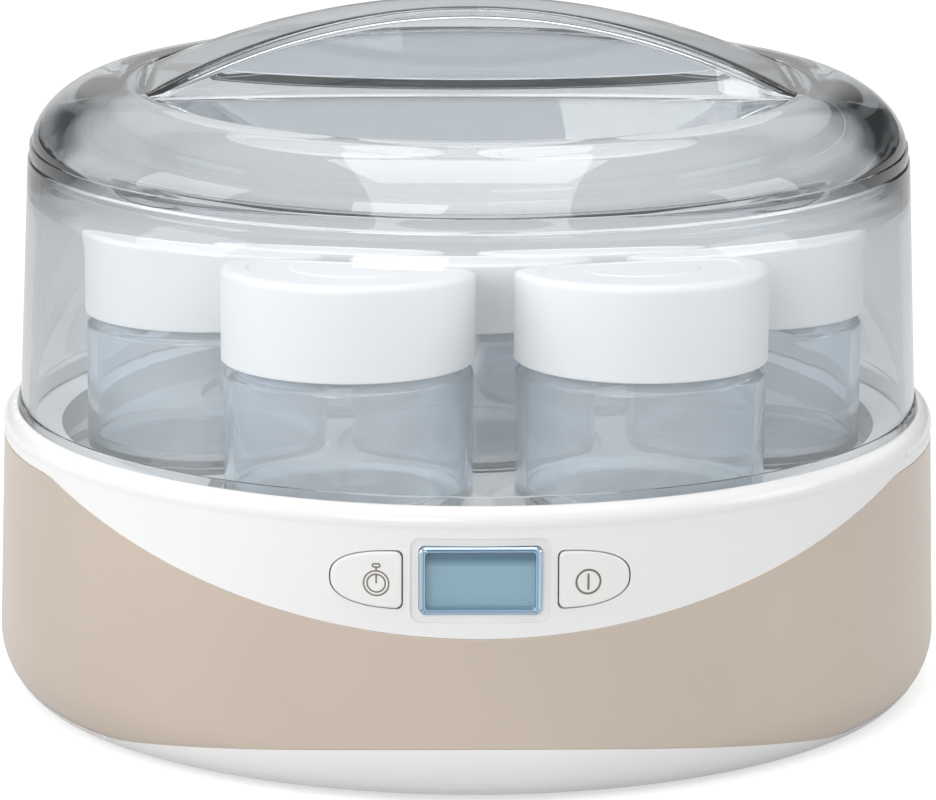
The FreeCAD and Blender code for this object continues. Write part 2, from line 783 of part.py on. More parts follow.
def power_board():
    """Circuit board on the posts of the bottom cover."""
    low = (-board_size_x / 2, board_centre_y - board_size_y / 2, power_board_z)
    high = (board_size_x / 2, board_centre_y + board_size_y / 2, power_board_z + board_thickness)
    board = box(low, high)
    for x, y in standoff_places():
        board = board.cut(rod(small_screw_hole, power_board_z - 1, power_board_z + 4, x, y))
    return board


def board_screws():
    """Four screws down into the power board's posts."""
    screws = []
    top = power_board_z + board_thickness
    for x, y in standoff_places():
        head = rod(2.6, top, top + 1.6, x, y)
        screws.append(head.fuse(rod(small_screw_radius, power_board_z - 5, top, x, y)))
    return group(screws)


def transformer():
    """Laminated core with a winding bobbin through it."""
    core = on_board(-22, 0, 28, 16, 24)
    bobbin = on_board(-22, 0, 18, 26, 18)
    return core.fuse(bobbin)


def storage_capacitors():
    """Two round capacitors on the power board."""
    low_z = power_board_z + board_thickness
    cans = [rod(4.0, low_z, low_z + 12, x, board_centre_y - 16) for x in (6.0, 17.0)]
    return group(cans)


def line_fuse():
    """Glass-type fuse between two clips."""
    low_z = power_board_z + board_thickness
    y = board_centre_y + 20
    barrel = Part.makeCylinder(2.6, 20, V(-18, y, low_z + 4.2), V(1, 0, 0))
    clips = [box((x, y - 3, low_z), (x + 4, y + 3, low_z + 4.2)) for x in (-18.0, -2.0)]
    return barrel.fuse(clips[0]).fuse(clips[1])


def terminal_block():
    """Four-way screw terminal with round screw wells."""
    block = on_board(26, terminal_y, 24, 10, terminal_height)
    top = power_board_z + board_thickness + terminal_height
    for k in range(4):
        block = block.cut(rod(1.8, top - 3, top + 1, 17 + 6 * k, board_centre_y + terminal_y))
    return block


def strip_yz(points, thickness, half_width, centre_x):
    """A flat flexible strip that follows (y, z) points and is wide along X."""
    corners = [V(centre_x - half_width, y, z) for y, z in points]
    back = [V(centre_x - half_width, y, z + thickness) for y, z in reversed(points)]
    ring = corners + back
    return Part.Face(Part.makePolygon(ring + ring[:1])).extrude(V(2 * half_width, 0, 0))


def ribbon_cable():
    """Flat cable from the display board's lower edge back to the power board."""
    board_top = power_board_z + board_thickness
    edge_y = board_centre_y - board_size_y / 2
    route = [(board_back_y + 0.1, board_low_z + 4.0), (board_back_y + 5, board_low_z - 9)]
    route += [(-40, 22), (edge_y - 8, 22), (edge_y + 2, board_top + 0.1)]
    return strip_yz(route, ribbon_thickness, ribbon_half_width, ribbon_x)


def wire_run(points, radius):
    """A round lead with mitred bends through the points."""
    parts = []
    for i in range(len(points) - 1):
        a = V(*points[i])
        step = V(*points[i + 1]) - a
        parts.append(Part.makeCylinder(radius, step.Length, a, step))
    joints = [Part.makeSphere(radius, V(*p)) for p in points[1:-1]]
    return parts[0].multiFuse(parts[1:] + joints)


def heater_leads():
    """Two leads from the heater's tabs down to the terminal block."""
    top = power_board_z + board_thickness + terminal_height
    y_end = board_centre_y + terminal_y
    leads = []
    for x, block_x in ((-tab_x, 17.0), (tab_x, 23.0)):
        route = [(x, 52, clamp_top_z), (x, 52, clamp_top_z - 8)]
        route += [(block_x, y_end, top + 8), (block_x, y_end, top)]
        leads.append(wire_run(route, lead_radius))
    return group(leads)


def mains_leads():
    """Two leads from the inlet to the terminal block."""
    top = power_board_z + board_thickness + terminal_height
    y_end = board_centre_y + terminal_y
    leads = []
    for inlet_x, block_x, lift in ((-1.8, 29.0, 12.0), (1.8, 35.0, 8.0)):
        route = [(inlet_x, gland_inner_y - 2, inlet_z), (inlet_x, 90, inlet_z), (block_x, 72, top + lift)]
        route += [(block_x, y_end, top + lift), (block_x, y_end, top)]
        leads.append(wire_run(route, lead_radius))
    return group(leads)


def cord_gland():
    """Stepped bush in the back wall that the mains cord comes out of."""
    head = cross_rod(gland_head_radius, inlet_face_y, gland_head_y, 0, inlet_z)
    body = cross_rod(gland_radius, gland_inner_y, inlet_face_y, 0, inlet_z)
    bore = cross_rod(cord_bore_radius, gland_inner_y - 1, gland_head_y + 1, 0, inlet_z)
    return head.fuse(body).cut(bore)


def gland_nut():
    """Six-sided nut that holds the gland from inside."""
    corners = [polar(nut_radius, 60 * k) for k in range(6)]
    high_y = inlet_face_y - pocket_wall_thickness
    nut = prism_y([(x, inlet_z + z) for x, z in corners], high_y - nut_thickness, high_y)
    return nut.cut(cross_rod(gland_radius, gland_inner_y, inlet_face_y, 0, inlet_z))


def build():
    """Write every sub-part."""
    save("base_shell", base_shell().multiFuse(display_posts()).cut(group([display_screws()])))
    save("side_band", band_layer())
    save("heating_tray", heating_tray())
    save("dome_lid", dome_lid())
    for k, (seat, shift) in enumerate(zip(jar_seats(), jar_shifts), start=1):
        x = seat[0] + shift[0]
        y = seat[1] + shift[1]
        save("jar_%d" % k, jar(x, y))
        save("jar_cap_%d" % k, jar_cap(x, y))
    save("timer_button", button(-1))
    save("power_button", button(1))
    save("lcd_bezel", lcd_bezel())
    save("lcd_window", lcd_window())
    save("lcd_panel", display_layer(lcd_front_y, backlight_front_y))
    save("lcd_backlight", display_layer(backlight_front_y, board_front_y))
    save("display_board", display_board())
    save("display_chip", box((-8, board_back_y, 48), (8, board_back_y + 1.0, 56)))
    save("display_screws", display_screws())
    save("tact_switches", tact_switches())
    save("buzzer", cross_rod(4.5, board_back_y, board_back_y + 5, 22.0, board_low_z + 4.6))
    save("heat_spreader", heat_spreader())
    save("mica_heater", mica_heater())
    save("heater_clamp_plate", heater_clamp_plate())
    save("heater_screws", heater_screws())
    save("temperature_sensor", temperature_sensor())
    save("sensor_clip", sensor_clip())
    save("thermal_fuse", thermal_fuse())
    save("fuse_clip", fuse_clip())
    save("bottom_cover", bottom_cover())
    save("cover_screws", cover_screws())
    save("feet", feet())
    save("power_board", power_board())
    save("board_screws", board_screws())
    save("transformer", transformer())
    save("relay", on_board(6, 4, 19, 15, 15))
    save("filter_capacitor", on_board(30, 0, 9, 20, 16))
    save("storage_capacitors", storage_capacitors())
    save("line_fuse", line_fuse())
    save("terminal_block", terminal_block())
    save("ribbon_cable", ribbon_cable())
    save("heater_leads", heater_leads())
    save("mains_leads", mains_leads())
    save("cord_gland", cord_gland())
    save("gland_nut", gland_nut())


build()
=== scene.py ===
import math

import bmesh
import bpy
import numpy as np
from mathutils import Matrix, Vector


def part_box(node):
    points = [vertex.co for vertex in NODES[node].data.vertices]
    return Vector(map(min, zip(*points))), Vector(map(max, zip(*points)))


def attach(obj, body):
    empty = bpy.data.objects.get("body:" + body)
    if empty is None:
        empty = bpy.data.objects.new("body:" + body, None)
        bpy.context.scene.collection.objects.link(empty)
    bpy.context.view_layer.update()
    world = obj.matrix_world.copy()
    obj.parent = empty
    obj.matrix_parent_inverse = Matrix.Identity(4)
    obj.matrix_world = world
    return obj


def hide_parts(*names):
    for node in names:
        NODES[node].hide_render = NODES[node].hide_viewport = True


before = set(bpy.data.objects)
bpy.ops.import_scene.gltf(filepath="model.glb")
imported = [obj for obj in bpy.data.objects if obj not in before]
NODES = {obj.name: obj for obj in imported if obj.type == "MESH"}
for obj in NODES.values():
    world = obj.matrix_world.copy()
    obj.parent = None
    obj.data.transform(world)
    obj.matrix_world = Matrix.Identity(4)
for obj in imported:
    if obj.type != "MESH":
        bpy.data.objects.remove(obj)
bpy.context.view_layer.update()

MM = 0.001
JARS = range(1, 8)

# Dome and grip, in millimetres
RIDGE_R = 95.0
RIDGE_Z = 160.8
CROWN_CENTRE_Z = 161.0
POCKET_HALF_X = 87.2
POCKET_HALF_Y = 97.5
POCKET_EDGE_Z = 159.7
POCKET_CENTRE_Z = 158.0
ROOF_R = 90.0
ROOF_EDGE_Z = 156.8
ROOF_CENTRE_Z = 155.4
RING_R = 114.9
RING_Z = 144.8
RING_LOW_R = 116.0
RING_LOW_Z = 141.2
LIP_R = 119.3
LIP_TOP_Z = 77.2
LEDGE_Z = 71.0
WALL = 2.6
INNER_TURN = (113.4, 131.5)
INNER_MID = (105.0, 148.5)
ARCH_R = 182.5
ARCH_TOP_Z = 181.0
GRIP_HALF = 13.0
GRIP_PLAN_R = 250.0
GRIP_DRAFT = 1.2
SHOULDER_POWER = 2 / 1.75
CROWN_ROWS = 121
CROWN_FLAT_COLS = 8
CROWN_OUT_COLS = 26

# Housing
WIDE_R = 125.0
WIDE_Z = 15.0
SIDE_R = 123.2
SIDE_Z = 70.0
FOOT_ROUND = 18.1
BAND_DEPTH = 1.2
BAND_LOW_Z = 4.0
BAND_HIGH_Z = 68.0
SMILE_LOW_Z = 43.0
SMILE_R = 250.0
CHIN_HIGH_Z = 15.2
CHIN_R = 400.0
BAND_SOFT_EDGE = 0.25
WALL_LOW_Z = 2.05
WALL_NEAR = 0.04

# Front panel
PANEL_Z = 57.4
BUTTON_IN = 19.1
BUTTON_TIP = 36.35
BUTTON_HALF = 7.0
BUTTON_PROUD = 0.6
BUTTON_FULLNESS = 2.5
BUTTON_CORNER = 1.6
SWITCH_X = 26.0
FLANGE_MARGIN = 1.3
FLANGE_FRONT = -3.0
FLANGE_BACK = -3.9
PLUNGER_R = 1.8
PLUNGER_FRONT_Y = -120.2
PLUNGER_BACK_Y = -116.3
PRINT_SUNK = -0.02
PRINT_PROUD = 0.05

# The display's painted shadow under its frame's top edge, in millimetres: its top, and how far below it the
# fade runs
LCD_TOP_Z = 64.5
SHADOW_FADE_START = 2.2
SHADOW_FADE_END = 4.4

# Camera, in metres, radians and millimetres of focal length
CAMERA_PLACE = (0.00009, -1.2, 0.3531)
CAMERA_YAW = math.radians(-1.55)
CAMERA_PITCH = 0.22878
CAMERA_ROLL = 0.00484
CAMERA_LENS = 177.36923076923


# ---------------------------------------------------------------- mesh making


def grid_quads(rows, cols, wrap=True):
    """Quads between neighbours on a grid of rows by cols points; wrap joins the last column to
    the first."""
    r = np.arange(rows - 1)[:, None]
    c = np.arange(cols if wrap else cols - 1)[None, :]
    n = (c + 1) % cols
    return np.stack([r * cols + c, r * cols + n, (r + 1) * cols + n, (r + 1) * cols + c], -1).reshape(-1, 4)


def mesh_object(name, parts, merge=1e-6):
    """One object from (points, quads) parts in metres: doubles are merged and faces turned outwards."""
    points = np.concatenate([p.reshape(-1, 3) for p, q in parts])
    starts = np.cumsum([0] + [p.reshape(-1, 3).shape[0] for p, q in parts[:-1]])
    quads = np.concatenate([q + s for (p, q), s in zip(parts, starts)])
    mesh = bpy.data.meshes.new(name)
    mesh.from_pydata(points.tolist(), [], quads.tolist())
    bm = bmesh.new()
    bm.from_mesh(mesh)
    bmesh.ops.remove_doubles(bm, verts=bm.verts, dist=merge)
    bmesh.ops.dissolve_degenerate(bm, edges=bm.edges, dist=merge)
    bmesh.ops.recalc_face_normals(bm, faces=bm.faces)
    bm.to_mesh(mesh)
    bm.free()
    obj = bpy.data.objects.new(name, mesh)
    bpy.context.scene.collection.objects.link(obj)
    return obj


def smooth(obj, degrees=32.0):
    """Smooth shading, with edges sharper than the angle kept crisp."""
    obj.data.shade_smooth()
    obj.data.set_sharp_from_angle(angle=math.radians(degrees))


def dress(obj, material, body, nodes=(), degrees=32.0):
    """Gives a finished piece its material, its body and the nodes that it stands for."""
    obj.data.materials.clear()
    obj.data.materials.append(material)
    smooth(obj, degrees)
    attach(obj, body)
    if nodes:
        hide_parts(*nodes)
    return obj


def welded_copy(node, name):
    """A copy of a node's mesh with its loose triangles merged, ready for smooth shading."""
    mesh = NODES[node].data.copy()
    mesh.name = name
    bm = bmesh.new()
    bm.from_mesh(mesh)
    bmesh.ops.remove_doubles(bm, verts=bm.verts, dist=2e-6)
    bm.to_mesh(mesh)
    bm.free()
    if mesh.has_custom_normals:
        mesh.normals_split_custom_set([(0, 0, 0)] * len(mesh.loops))
    obj = bpy.data.objects.new(name, mesh)
    bpy.context.scene.collection.objects.link(obj)
    return obj


def rounded(corners, radii, steps=6):
    """A polyline with each corner replaced by a round of its own radius, as points on a circle arc."""
    out = []
    count = len(corners)
    for i in range(count):
        p = np.array(corners[i], float)
        a = np.array(corners[i - 1], float) - p
        b = np.array(corners[(i + 1) % count], float) - p
        la, lb = np.linalg.norm(a), np.linalg.norm(b)
        a, b = a / la, b / lb
        half = math.acos(np.clip(a @ b, -1, 1)) / 2
        reach = radii[i] / math.tan(half) if radii[i] else 0.0
        if reach < 1e-6:
            out.append(p[None])
            continue
        reach = min(reach, la * 0.49, lb * 0.49)
        r = reach * math.tan(half)
        middle = (a + b) / np.linalg.norm(a + b)
        centre = p + middle * r / math.sin(half)
        start, stop = p + a * reach - centre, p + b * reach - centre
        t = np.linspace(0, 1, steps)[:, None]
        angle = math.pi - 2 * half
        out.append(centre + (np.sin((1 - t) * angle) * start + np.sin(t * angle) * stop) / math.sin(angle))
    return np.concatenate(out)


def turned(profile, segments, centre=(0.0, 0.0), closed=True):
    """A surface of revolution: point (r cos a, r sin a, z) for each profile point and each angle a."""
    loop = np.concatenate([profile, profile[:1]]) if closed else profile
    a = np.linspace(0, 2 * math.pi, segments, endpoint=False)
    x = loop[:, :1] * np.cos(a) + centre[0]
    y = loop[:, :1] * np.sin(a) + centre[1]
    z = np.repeat(loop[:, 1:], segments, axis=1)
    return np.stack([x, y, z], -1) * MM, grid_quads(len(loop), segments)


# ---------------------------------------------------------------- materials


def new_material(name):
    """An empty node material with its output."""
    material = bpy.data.materials.new(name)
    material.use_nodes = True
    tree = material.node_tree
    tree.nodes.clear()
    out = tree.nodes.new("ShaderNodeOutputMaterial")
    return material, tree, out


def surface_noise(tree, scale, detail=3.0, streak=1.0):
    """A noise value on Object coordinates, with its scale in cells per metre. A streak below 1
    draws it out along Z."""
    place = tree.nodes.new("ShaderNodeTexCoord")
    noise = tree.nodes.new("ShaderNodeTexNoise")
    noise.inputs["Scale"].default_value = scale
    noise.inputs["Detail"].default_value = detail
    stretch = tree.nodes.new("ShaderNodeMapping")
    stretch.inputs["Scale"].default_value = (1.0, 1.0, streak)
    tree.links.new(place.outputs["Object"], stretch.inputs["Vector"])
    tree.links.new(stretch.outputs["Vector"], noise.inputs["Vector"])
    return noise


def ranged(tree, source, low, high):
    """A value from 0 to 1 spread over low to high."""
    spread = tree.nodes.new("ShaderNodeMapRange")
    spread.inputs["To Min"].default_value = low
    spread.inputs["To Max"].default_value = high
    tree.links.new(source, spread.inputs["Value"])
    return spread.outputs["Result"]


def add_bump(tree, shader, source, height):
    """A bump of a height in metres on a shader's Normal."""
    bump = tree.nodes.new("ShaderNodeBump")
    bump.inputs["Strength"].default_value = 1.0
    bump.inputs["Distance"].default_value = height
    tree.links.new(source, bump.inputs["Height"])
    tree.links.new(bump.outputs["Normal"], shader.inputs["Normal"])


def tinted(tree, source, dark, light):
    """A colour that drifts between two close tones."""
    ramp = tree.nodes.new("ShaderNodeValToRGB")
    ramp.color_ramp.elements[0].position = 0.3
    ramp.color_ramp.elements[1].position = 0.7
    ramp.color_ramp.elements[0].color = (*dark, 1)
    ramp.color_ramp.elements[1].color = (*light, 1)
    tree.links.new(source, ramp.inputs["Fac"])
    return ramp.outputs["Color"]


def moulded(name, dark, light, rough=(0.2, 0.28), grain=900.0, grain_height=4e-6, coat=0.0,
            metallic=0.0, shadow_top_z=0.0):
    """Moulded or painted surface: drifting tone, uneven gloss and a fine skin texture, and with a shadow
    top height in mm, a painted shadow under it that fades out downwards."""
    material, tree, out = new_material(name)
    shader = tree.nodes.new("ShaderNodeBsdfPrincipled")
    shader.inputs["Metallic"].default_value = metallic
    shader.inputs["Coat Weight"].default_value = coat
    shader.inputs["Coat Roughness"].default_value = 0.08
    tone = surface_noise(tree, 14.0)
    fine = surface_noise(tree, grain, 2.0)
    colour = tinted(tree, tone.outputs["Fac"], dark, light)
    if shadow_top_z:
        split = tree.nodes.new("ShaderNodeSeparateXYZ")
        place = tree.nodes.new("ShaderNodeTexCoord")
        tree.links.new(place.outputs["Object"], split.inputs["Vector"])
        shadow_fade = tree.nodes.new("ShaderNodeMapRange")
        shadow_fade.inputs["From Min"].default_value = (shadow_top_z - SHADOW_FADE_END) * MM
        shadow_fade.inputs["From Max"].default_value = (shadow_top_z - SHADOW_FADE_START) * MM
        tree.links.new(split.outputs["Z"], shadow_fade.inputs["Value"])
        # painted shadow of the display's frame: a dark blue colour, strongest at the shadow top and fading
        # out downwards
        shade = tree.nodes.new("ShaderNodeMix")
        shade.data_type = "RGBA"
        tree.links.new(shadow_fade.outputs["Result"], shade.inputs["Factor"])
        tree.links.new(colour, shade.inputs["A"])
        shade.inputs["B"].default_value = (dark[0] * 0.12, dark[1] * 0.35, dark[2] * 0.48, 1)
        colour = shade.outputs["Result"]
    tree.links.new(colour, shader.inputs["Base Color"])
    tree.links.new(ranged(tree, tone.outputs["Fac"], *rough), shader.inputs["Roughness"])
    add_bump(tree, shader, fine.outputs["Fac"], grain_height)
    tree.links.new(shader.outputs["BSDF"], out.inputs["Surface"])
    return material


def clear(name, colour, edge, haze=0.0, rough=(0.0, 0.02), ripple=6e-6, ripple_scale=45.0, streak=1.0):
    """Clear solid: refracts with a faint moulding ripple and a share of pale haze, is deeper in
    colour where it is seen edge on, and lets the lamps' light through."""
    material, tree, out = new_material(name)
    shader = tree.nodes.new("ShaderNodeBsdfPrincipled")
    facing = tree.nodes.new("ShaderNodeLayerWeight")
    facing.inputs["Blend"].default_value = 0.3
    tint = tree.nodes.new("ShaderNodeMix")
    tint.data_type = "RGBA"
    tree.links.new(facing.outputs["Facing"], tint.inputs["Factor"])
    tint.inputs["A"].default_value = (*colour, 1)
    tint.inputs["B"].default_value = (colour[0] * edge * 0.85, colour[1] * edge, colour[2] * edge * 1.1, 1)
    tree.links.new(tint.outputs["Result"], shader.inputs["Base Color"])
    shader.inputs["IOR"].default_value = 1.49
    shader.inputs["Transmission Weight"].default_value = 1.0 - haze
    wave = surface_noise(tree, ripple_scale, 1.0, streak)
    tree.links.new(ranged(tree, wave.outputs["Fac"], *rough), shader.inputs["Roughness"])
    add_bump(tree, shader, wave.outputs["Fac"], ripple)
    see_through = tree.nodes.new("ShaderNodeBsdfTransparent")
    see_through.inputs["Color"].default_value = (0.98, 0.98, 0.98, 1)
    path = tree.nodes.new("ShaderNodeLightPath")
    before = shader.outputs["BSDF"]
    for ray in ("Is Diffuse Ray", "Is Shadow Ray"):
        mix = tree.nodes.new("ShaderNodeMixShader")
        tree.links.new(path.outputs[ray], mix.inputs["Fac"])
        tree.links.new(before, mix.inputs[1])
        tree.links.new(see_through.outputs["BSDF"], mix.inputs[2])
        before = mix.outputs["Shader"]
    tree.links.new(before, out.inputs["Surface"])
    return material


WHITE = moulded("white_gloss", (0.80, 0.80, 0.80), (0.83, 0.83, 0.83), (0.16, 0.24), 700.0, 3e-6)
CAP_WHITE = moulded("cap_white", (0.89, 0.90, 0.91), (0.91, 0.92, 0.93), (0.3, 0.4), 900.0, 5e-6)
BUTTON_WHITE = moulded("button_white", (0.80, 0.80, 0.79), (0.83, 0.83, 0.82), (0.28, 0.36), 1100.0, 4e-6)
CHAMPAGNE = moulded("champagne_lacquer", (0.56, 0.475, 0.405), (0.59, 0.505, 0.43), (0.3, 0.36),
                    2600.0, 3e-6, 0.25, 0.55)
TRAY_GREY = moulded("tray_grey", (0.83, 0.85, 0.86), (0.87, 0.89, 0.90), (0.4, 0.55), 500.0, 1.5e-5)
SYMBOL = moulded("symbol_print", (0.17, 0.14, 0.12), (0.20, 0.17, 0.15), (0.4, 0.5), 1500.0, 1e-6)
BEZEL = moulded("bezel_blue_silver", (0.42, 0.56, 0.68), (0.48, 0.62, 0.74), (0.06, 0.14),
                800.0, 1e-6, 0.0, 0.9)
# The display carries a painted shadow of its frame along its top.
LCD = moulded("lcd_blue_grey", (0.25, 0.44, 0.53), (0.27, 0.46, 0.55), (0.1, 0.2),
              400.0, 5e-7, 0.3, shadow_top_z=LCD_TOP_Z)
BACKLIGHT = moulded("backlight_milk", (0.78, 0.80, 0.76), (0.82, 0.84, 0.80), (0.3, 0.4))
BOARD = moulded("board_green", (0.02, 0.11, 0.04), (0.03, 0.15, 0.06), (0.3, 0.5), 1600.0, 1e-5, 0.3)
BLACK = moulded("component_black", (0.02, 0.02, 0.02), (0.035, 0.035, 0.035), (0.4, 0.6), 1400.0, 8e-6)
SCREW = moulded("screw_steel", (0.52, 0.52, 0.53), (0.60, 0.60, 0.61), (0.25, 0.4), 1800.0, 6e-6, 0.0, 1.0)
ALUMINIUM = moulded("rolled_aluminium", (0.70, 0.71, 0.72), (0.78, 0.79, 0.80), (0.28, 0.42),
                    1200.0, 6e-6, 0.0, 1.0)
MICA = moulded("mica_brown", (0.22, 0.14, 0.07), (0.36, 0.25, 0.13), (0.4, 0.6), 300.0, 2e-5)
ZINC = moulded("zinc_plate", (0.50, 0.51, 0.53), (0.62, 0.63, 0.65), (0.3, 0.5), 160.0, 6e-6, 0.0, 1.0)
RUBBER = moulded("foot_rubber", (0.05, 0.05, 0.05), (0.08, 0.08, 0.08), (0.7, 0.85), 1300.0, 3e-5)
RELAY_BLUE = moulded("relay_blue", (0.02, 0.06, 0.25), (0.03, 0.08, 0.32), (0.3, 0.4))
FILM_YELLOW = moulded("capacitor_yellow", (0.55, 0.38, 0.04), (0.62, 0.44, 0.06), (0.3, 0.45))
TERMINAL = moulded("terminal_green", (0.03, 0.22, 0.09), (0.04, 0.28, 0.12), (0.35, 0.5))
FUSE_BODY = moulded("fuse_body", (0.70, 0.66, 0.52), (0.78, 0.74, 0.60), (0.2, 0.35))
SLEEVING = moulded("wire_sleeve", (0.55, 0.55, 0.52), (0.64, 0.64, 0.60), (0.5, 0.65), 900.0, 1e-5)
DOME_CLEAR = clear("dome_clear", (0.93, 0.955, 0.975), 0.3, 0.015)
JAR_GLASS = clear("jar_glass", (0.90, 0.94, 0.975), 0.8, 0.16, (0.0, 0.04), 1.2e-4, 110.0, 0.12)
WINDOW = clear("window_clear", (0.9, 0.94, 0.96), 0.9)


# ---------------------------------------------------------------- dome lid


def dished(r, edge_r, edge_z, centre_z):
    """A shallow dish or crown: the centre height plus the square of the radius up to the edge height."""
    return centre_z + (edge_z - centre_z) * (r / edge_r) ** 2


def top_height(r):
    """Height of the dome's top over the radius: a flat crown, then a superellipse down to the ring."""
    share = np.clip((r - RIDGE_R) / (RING_R - RIDGE_R), 0, 1) ** (1 / SHOULDER_POWER)
    fall = RING_Z + (RIDGE_Z - RING_Z) * np.sqrt(1 - share ** 2) ** SHOULDER_POWER
    return np.where(r < RIDGE_R, dished(r, RIDGE_R, RIDGE_Z, CROWN_CENTRE_Z), fall)


def arch_height(x, inset):
    """Height of the grip's round top over x: a circle along X, drawn in by the inset."""
    r = ARCH_R - inset
    return ARCH_TOP_Z - ARCH_R + np.sqrt(np.maximum(r * r - x * x, 0.0))


def grip_half(x, inset):
    """Half width of the grip over x: two circles in plan that come closest at the middle."""
    return GRIP_HALF - inset + GRIP_PLAN_R - np.sqrt(GRIP_PLAN_R ** 2 - x * x)


def crown(half_x, half_y, floor_fn, inset, end_z, top_round, foot_fillet, draft, rows, flat_cols, out_cols):
    """The top of the dome as a grid over an ellipse. The square (s, t) maps to the ellipse by
    x = a t sqrt(1 - s^2/2), y = b s sqrt(1 - t^2/2), and s is chosen so that grid lines follow
    the grip's walls. Height is the floor, and over the grip the arch with a rounded top edge,
    a sloped wall and a fillet at its foot."""
    t = np.sin(np.linspace(-math.pi / 2, math.pi / 2, rows)) * 0.35 + np.linspace(-1, 1, rows) * 0.65
    steps = [np.linspace(0, 1, flat_cols, endpoint=False), 1 + np.linspace(0, 1, 7, endpoint=False)]
    steps += [2 + np.linspace(0, 1, 7, endpoint=False), 3 + np.linspace(0, 1, 7, endpoint=False)]
    steps += [4 + np.linspace(0, 1, out_cols)]
    k = np.concatenate(steps)
    k = np.concatenate([-k[:0:-1], k])
    t, k = np.meshgrid(t, k, indexing="ij")
    side, k = np.sign(k), np.abs(k)
    s = np.zeros_like(t)
    for _ in range(6):
        x = half_x * t * np.sqrt(1 - s * s / 2)
        y_max = half_y * np.sqrt(1 - t * t / 2)
        base = floor_fn(np.hypot(x, s * y_max))
        rise = np.maximum(np.maximum(arch_height(x, inset), end_z) - base, 0.0)
        size = np.clip(rise / (top_round + foot_fillet + 0.5), 0.0, 1.0)
        r1, r2 = top_round * size, foot_fillet * size
        wall = grip_half(x, inset) - draft * size / 2
        u = np.clip(k - 1, 0, 1) * math.pi / 2
        v = np.clip(k - 2, 0, 1)
        w = np.clip(k - 3, 0, 1) * math.pi / 2
        run = (wall - r1) * np.clip(k, 0, 1) + r1 * np.sin(u) + draft * size * v + r2 * (1 - np.cos(w))
        foot = wall + draft * size + r2
        y = np.where(k <= 4, run, foot + (y_max - foot) * np.clip(k - 4, 0, 1))
        s = y / y_max
    drop = r1 * (1 - np.cos(u)) + np.maximum(rise - r1 - r2, 0.0) * v + r2 * np.sin(w)
    z = base + np.where(k < 4, rise - np.minimum(drop, rise), 0.0)
    return np.stack([x, side * y, z], -1)


def rim_of(grid):
    """The grid's boundary as one ring of points, in order round the disc."""
    return np.concatenate([grid[0, :-1], grid[:-1, -1], grid[-1, :0:-1], grid[:0:-1, 0]])


def skirt(ring, profile):
    """Rings round Z through (radius, z) profile points, each at the angles of the first ring."""
    angle = np.arctan2(ring[:, 1], ring[:, 0])
    r = profile[:, :1]
    z = np.repeat(profile[:, 1:], len(ring), axis=1)
    rings = np.stack([r * np.cos(angle), r * np.sin(angle), z], -1)
    return np.concatenate([ring[None], rings])


def pocket_rim(ring):
    """From the pocket's elliptical edge: a small step with a soft corner up to the crown, then rows
    spread out to the ring, on the dome's top."""
    angle = np.arctan2(ring[:, 1], ring[:, 0])
    edge = np.hypot(ring[:, 0], ring[:, 1])
    out, up = np.array([[0.06, 0.12, 0.22, 0.5], [0.3, 0.72, 0.94, 1.0]])[:, :, None]
    step_r = edge + out
    step_z = ring[:, 2] + (top_height(step_r) - ring[:, 2]) * up
    turn = np.linspace(math.pi / 2, 0, 30)[1:, None]
    start = edge + out[-1]
    wide_r = start + (RING_R - start) * np.cos(turn).clip(0) ** SHOULDER_POWER
    r = np.concatenate([step_r, wide_r])
    z = np.concatenate([step_z, top_height(wide_r)])
    rings = np.stack([r * np.cos(angle), r * np.sin(angle), z], -1)
    return np.concatenate([ring[None], rings])


def arc_points(a, mid, b, steps):
    """Points on the circle through three points, after the first one."""
    a, mid, b = (np.array(p, float) for p in (a, mid, b))
    m = np.array([mid - a, b - mid]) * 2
    centre = np.linalg.solve(m, [mid @ mid - a @ a, b @ b - mid @ mid])
    start, stop = (math.atan2(*(p - centre)[::-1]) for p in (a, b))
    r = np.linalg.norm(a - centre)
    t = np.linspace(start, stop, steps)[1:, None]
    return centre + r * np.concatenate([np.cos(t), np.sin(t)], 1)


